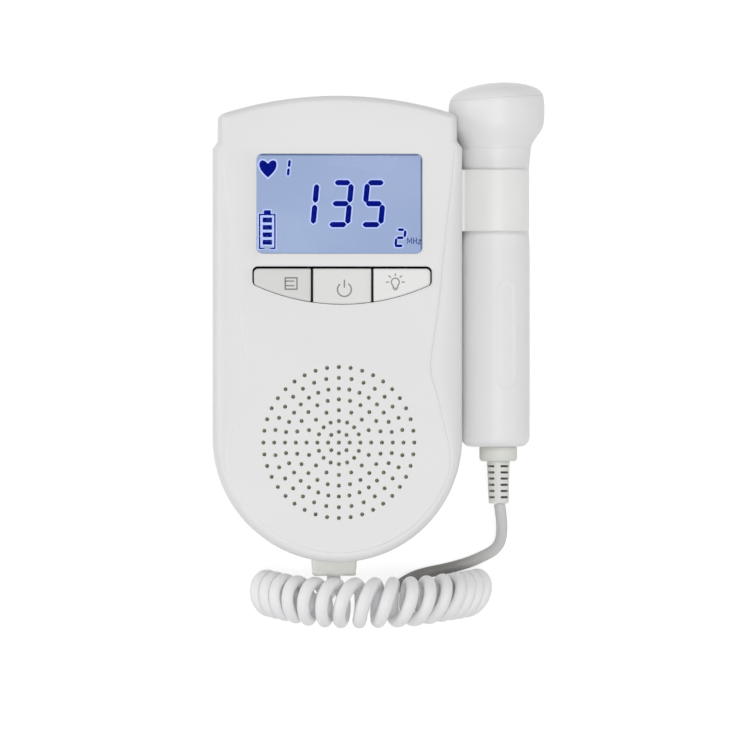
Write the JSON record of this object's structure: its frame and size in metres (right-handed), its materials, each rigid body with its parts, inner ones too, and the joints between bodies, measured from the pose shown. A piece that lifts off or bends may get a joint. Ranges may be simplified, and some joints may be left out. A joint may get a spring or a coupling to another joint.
{
  "type": "fetal doppler monitor",
  "caption": "Hand-held heartbeat monitor with a lit display, a row of keys, a round speaker grille, and a wand probe in a side clip on a curly cord.",
  "frame": {"origin": "on the table under the middle of the casing and its probe, the cord left out", "axes": "+X towards the probe's side, +Y towards the display end, +Z out of the front face; the monitor lies on its back"},
  "size_m": [0.0962, 0.1581, 0.0342],
  "materials": {
    "casing_plastic": "fine satin moulded plastic, near white",
    "display_window": "clear gloss window",
    "display_glass": "blue back-lit display",
    "display_marks": "dark blue display segments",
    "light_guide": "clear light guide",
    "display_frame": "white plastic frame",
    "key_plastic": "off-white satin keys with grey printed signs",
    "mat_rubber": "black silicone",
    "silicone": "pale grey silicone",
    "dark_plastic": "dark plastic",
    "board": "green solder mask",
    "steel": "zinc plated",
    "speaker_metal": "grey pressed steel",
    "speaker_paper": "black coated paper",
    "grille_fabric": "olive grey acoustic cloth",
    "cell_jacket": "plain printed cell jacket",
    "contact_metal": "plated contact plates",
    "wheel_plastic": "mid grey ribbed plastic",
    "socket_plastic": "light grey plastic",
    "foot_rubber": "grey rubber",
    "probe_plastic": "satin white plastic",
    "crystal": "silvered ceramic",
    "relief_vinyl": "soft off-white vinyl",
    "cord_vinyl": "white vinyl cord"
  },
  "bodies": {
    "unit": {"front_shell": "casing_plastic", "rear_shell": "casing_plastic", "lcd_window": "display_window", "lcd_panel": "display_glass", "lcd_segments": "display_marks", "lcd_backlight": "light_guide", "lcd_frame": "display_frame", "keypad_mat": "mat_rubber", "tact_switches": "dark_plastic", "main_board": "board", "board_chips": "dark_plastic", "board_screws": "steel", "shell_screws": "steel", "speaker_frame": "speaker_metal", "speaker_cone": "speaker_paper", "speaker_magnet": "speaker_metal", "grille_cloth": "grille_fabric", "batteries": "cell_jacket", "battery_springs": "steel", "battery_contacts": "contact_metal", "probe_clip": "casing_plastic", "clip_screws": "steel", "side_board": "board", "volume_pot": "dark_plastic", "headphone_jack": "dark_plastic", "probe_socket": "socket_plastic", "rubber_feet": "foot_rubber", "cord_plug": "socket_plastic", "cord_tail": "cord_vinyl", "cord_coil": "cord_vinyl", "cord_lead": "cord_vinyl"},
    "menu_key": {"menu_button": "key_plastic"},
    "power_key": {"power_button": "key_plastic"},
    "light_key": {"light_button": "key_plastic"},
    "probe": {"probe_handle": "probe_plastic", "probe_head": "probe_plastic", "probe_face": "probe_plastic", "head_seal": "silicone", "crystal_carrier": "dark_plastic", "piezo_crystals": "crystal", "probe_board": "board", "relief_collar": "relief_vinyl", "strain_relief": "relief_vinyl"},
    "door": {"battery_door": "casing_plastic"},
    "wheel": {"volume_wheel": "wheel_plastic"}
  },
  "joints": [
    {"name": "menu_press", "type": "slide", "parent": "unit", "child": "menu_key", "axis": [0, 0, -1], "range_m": [0, 0.0008], "stiffness_N_per_m": 1500},
    {"name": "power_press", "type": "slide", "parent": "unit", "child": "power_key", "axis": [0, 0, -1], "range_m": [0, 0.0008], "stiffness_N_per_m": 1500},
    {"name": "light_press", "type": "slide", "parent": "unit", "child": "light_key", "axis": [0, 0, -1], "range_m": [0, 0.0008], "stiffness_N_per_m": 1500},
    {"name": "probe_slide", "type": "slide", "parent": "unit", "child": "probe", "axis": [0, 1, 0], "range_m": [0, 0.098]},
    {"name": "door_slide", "type": "slide", "parent": "unit", "child": "door", "axis": [0, 1, 0], "range_m": [0, 0.064]},
    {"name": "volume_turn", "type": "hinge", "parent": "unit", "child": "wheel", "pos_m": [-0.04102, -0.0207, 0.0097], "axis": [0, 0, 1], "range_deg": [-135, 135]}
  ]
}
